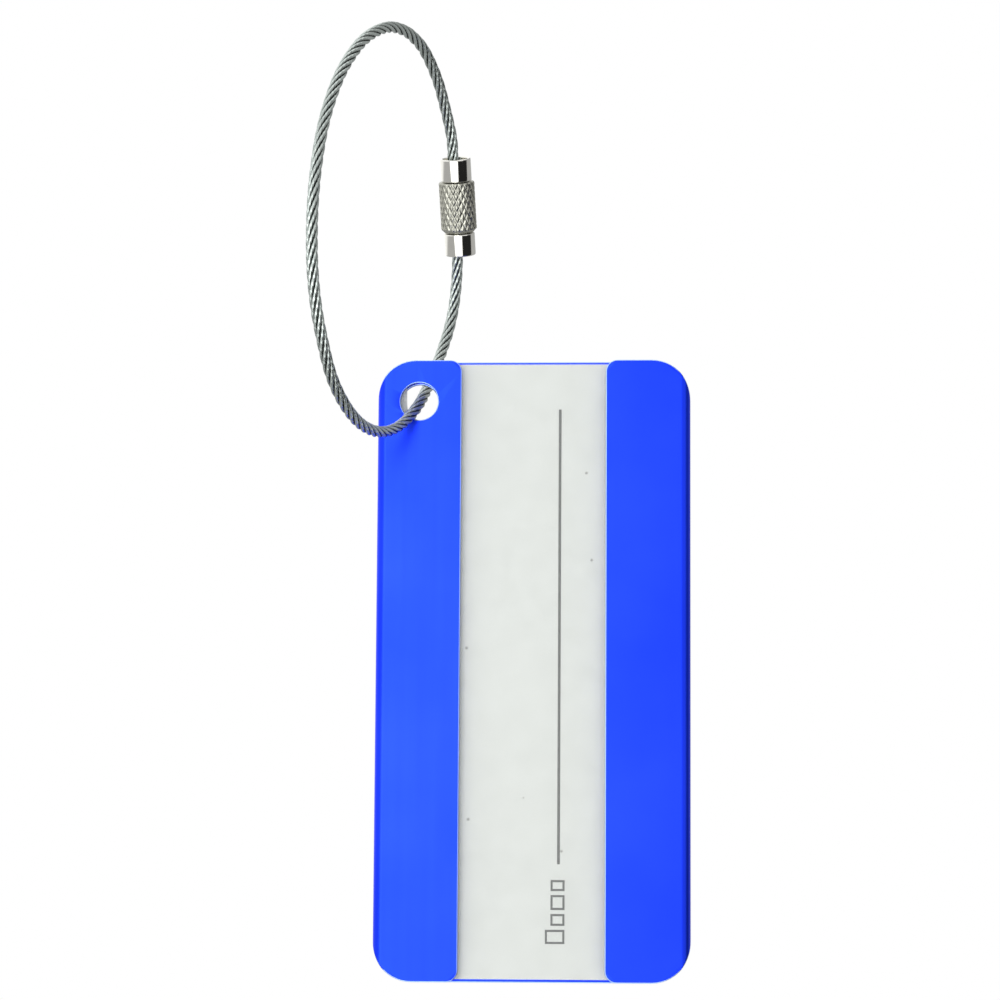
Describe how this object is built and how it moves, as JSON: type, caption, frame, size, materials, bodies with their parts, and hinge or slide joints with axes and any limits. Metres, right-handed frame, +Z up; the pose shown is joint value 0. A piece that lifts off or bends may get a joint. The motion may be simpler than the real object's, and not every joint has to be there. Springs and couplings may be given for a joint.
{
  "type": "luggage tag",
  "caption": "Folded metal luggage tag with a slide-out name card behind a clear window, hung on a wire rope loop with a knurled screw clasp.",
  "frame": {"origin": "top of the wire loop at the rope's centre, where it hangs over a handle", "axes": "+Z up along the tag's long side, -Y out of the tag's front, +X to the right seen from the front"},
  "size_m": [0.0466, 0.0502, 0.123],
  "materials": {
    "anodised_blue": "blue anodised sheet, satin",
    "card_white": "plain white card with a printed writing line",
    "clear_plastic": "clear thin sheet, gloss",
    "rope_steel": "stranded steel wire",
    "plated_steel": "nickel plated, bright",
    "knurled_steel": "nickel plated, diamond knurled"
  },
  "bodies": {
    "loop": {"wire_rope": "rope_steel", "lower_ferrule": "plated_steel", "upper_ferrule": "plated_steel"},
    "sleeve": {"knurled_sleeve": "knurled_steel"},
    "case": {"tag_case": "anodised_blue"},
    "card": {"name_card": "card_white"},
    "window": {"clear_window": "clear_plastic"}
  },
  "joints": [
    {"name": "tag_swing", "type": "hinge", "parent": "loop", "child": "case", "pos_m": [0.0017, 0.0067, -0.0477], "axis": [0, 1, 0], "range_deg": [-120, 120]},
    {"name": "card_slide", "type": "slide", "parent": "case", "child": "card", "axis": [0, 0, -1], "range_m": [0, 0.07]},
    {"name": "window_slide", "type": "slide", "parent": "case", "child": "window", "axis": [0, 0, -1], "range_m": [0, 0.07]},
    {"name": "sleeve_turn", "type": "hinge", "parent": "loop", "child": "sleeve", "pos_m": [0.0059, 0.0211, -0.0253], "axis": [-0.0401, -0.3581, 0.9328], "range_deg": [0, 2520]}
  ]
}
